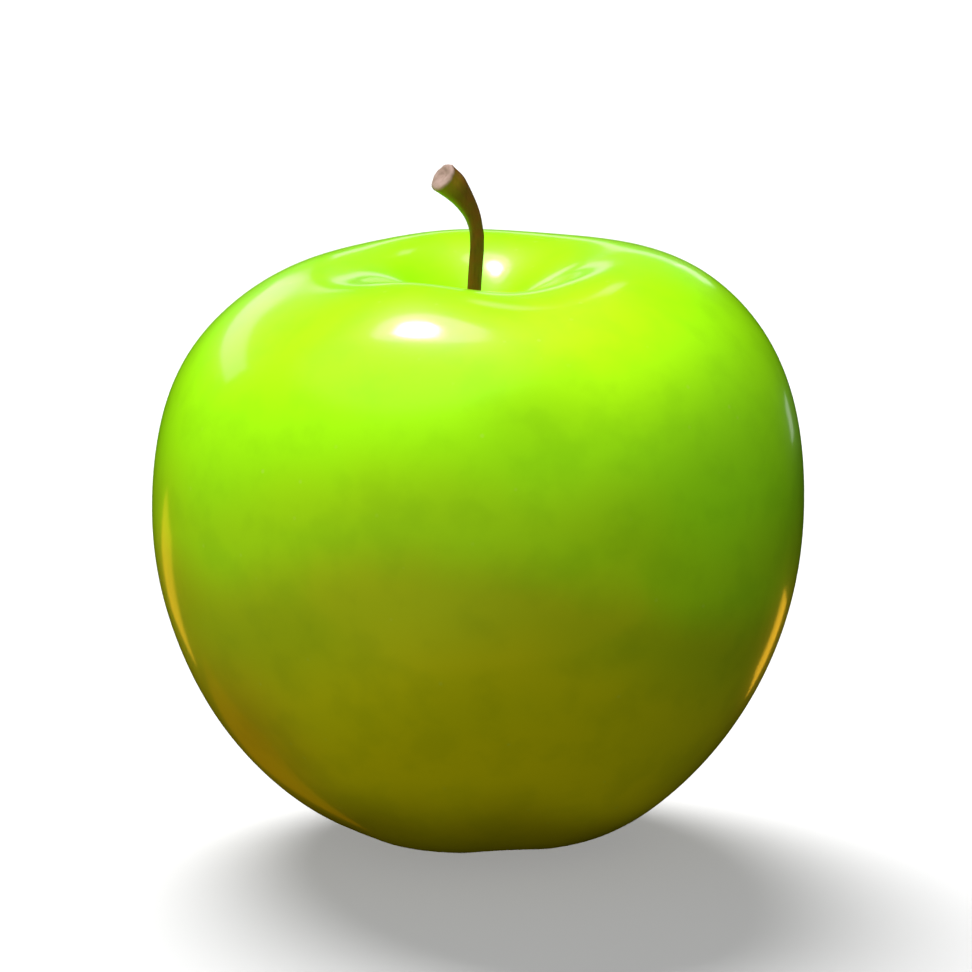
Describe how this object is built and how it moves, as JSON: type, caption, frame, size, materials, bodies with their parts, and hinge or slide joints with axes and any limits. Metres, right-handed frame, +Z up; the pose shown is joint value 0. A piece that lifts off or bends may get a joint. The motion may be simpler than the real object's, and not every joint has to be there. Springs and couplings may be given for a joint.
{
  "type": "apple",
  "caption": "Whole green apple with a glossy skin, a bent woody stalk in its cavity, and a dried calyx in the basin underneath.",
  "frame": {"origin": "middle of the fruit's bounding box in plan, on the surface that the fruit rests on", "axes": "+Z up from the foot to the stalk, -Y towards the front, +X to the right seen from the front; the stalk's head leans towards -X"},
  "size_m": [0.078, 0.078, 0.0812],
  "materials": {
    "skin": "smooth waxed skin, lime green on the shoulders and olive towards the foot, clear gloss",
    "stalk": "woody, olive brown with a reddish side and a pale scar at the head, satin",
    "dried_sepal": "dry, papery and downy, grey brown",
    "withered_stamen": "dry, dark brown, matt"
  },
  "bodies": {
    "root": {"apple_body": "skin", "stalk": "stalk", "sepal_1": "dried_sepal", "sepal_2": "dried_sepal", "sepal_3": "dried_sepal", "sepal_4": "dried_sepal", "sepal_5": "dried_sepal", "stamen_tuft": "withered_stamen"}
  },
  "joints": []
}
